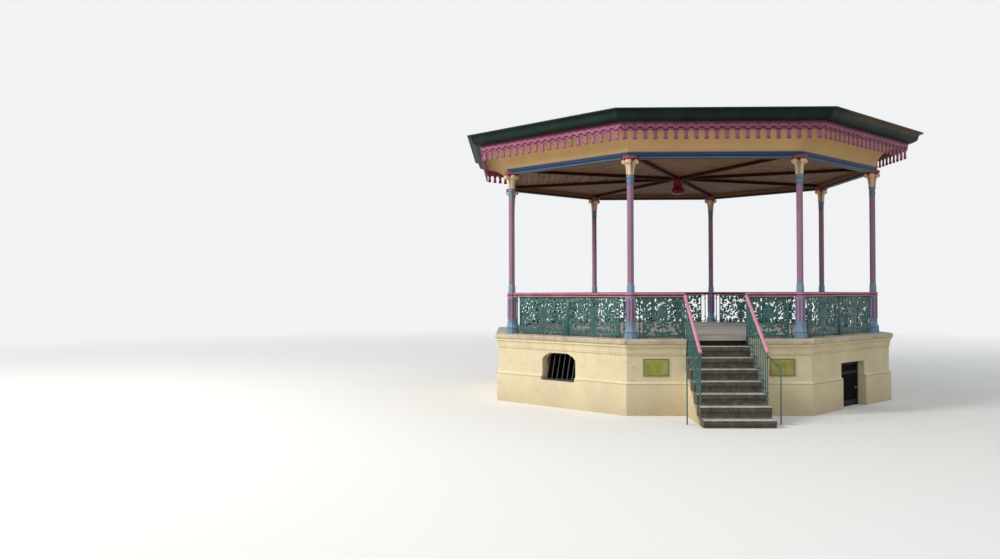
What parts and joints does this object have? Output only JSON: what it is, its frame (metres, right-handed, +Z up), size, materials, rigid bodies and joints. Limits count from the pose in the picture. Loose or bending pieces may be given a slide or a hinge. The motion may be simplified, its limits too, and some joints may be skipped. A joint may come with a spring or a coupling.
{
  "type": "bandstand",
  "caption": "Octagonal open bandstand: rendered plinth with a stone stair and a store door, painted cast columns and scrolled railings, fretted valance and low roof",
  "frame": {"origin": "on the ground, under the middle of the octagonal platform", "axes": "+Z is up; -Y faces out of the side with the stair, so the stair runs down towards -Y; +X is to the right of someone who faces the stair"},
  "size_m": [8.7194, 9.5484, 5.7894],
  "materials": {
    "render": "cream painted render, stained in places",
    "coping_stone": "weathered cut stone",
    "floor_slab": "worn cement floor",
    "step_stone": "dark worn stone with light nosings",
    "plaque": "olive green, no lettering",
    "iron_bar": "dark, lightly rusted",
    "dark_timber": "near-black old paint",
    "knob_iron": "dull worn metal",
    "railing_iron": "teal paint over castings",
    "pink_rail": "pink paint, dark groove",
    "column_iron": "lilac, light blue, cream and pink paint",
    "beam_blue": "blue paint, pale lower band",
    "cove_cream": "cream painted boards",
    "valance_pink": "mauve pink paint",
    "gutter_green": "dark green paint",
    "ceiling_boards": "varnished brown boards",
    "rib_maroon": "dark maroon paint",
    "roof_zinc": "dull grey sheet"
  },
  "bodies": {
    "structure": {"plinth_front_walls": "render", "plinth_door_piers": "render", "plinth_door_lintel": "render", "plinth_right_wall": "render", "plinth_back_right_wall": "render", "plinth_back_wall": "render", "plinth_back_left_wall": "render", "plinth_left_wall": "render", "plinth_vent_wall": "render", "stair_base": "render", "coping": "coping_stone", "platform_floor": "floor_slab", "stair_steps": "step_stone", "plaques": "plaque", "vent_grille": "iron_bar", "door_frame": "dark_timber", "stair_bars_left": "railing_iron", "stair_bars_right": "railing_iron", "stair_stays": "railing_iron", "railing_front_left": "railing_iron", "railing_front_right": "railing_iron", "railing_1": "railing_iron", "railing_2": "railing_iron", "railing_3": "railing_iron", "railing_4": "railing_iron", "railing_5": "railing_iron", "railing_6": "railing_iron", "railing_7": "railing_iron", "stair_handrails": "pink_rail", "handrails": "pink_rail", "column_1": "column_iron", "column_2": "column_iron", "column_3": "column_iron", "column_4": "column_iron", "column_5": "column_iron", "column_6": "column_iron", "column_7": "column_iron", "column_8": "column_iron", "ring_beam": "beam_blue", "cove": "cove_cream", "valance": "valance_pink", "gutter": "gutter_green", "ceiling": "ceiling_boards", "ceiling_ribs": "rib_maroon", "ceiling_boss": "rib_maroon", "roof": "roof_zinc"},
    "door_leaf": {"store_door": "dark_timber", "door_knob": "knob_iron"}
  },
  "joints": [
    {"name": "store_door_hinge", "type": "hinge", "parent": "structure", "child": "door_leaf", "pos_m": [2.3015, -2.8671, 0.4], "axis": [0, 0, -1], "range_deg": [0, 95]}
  ]
}
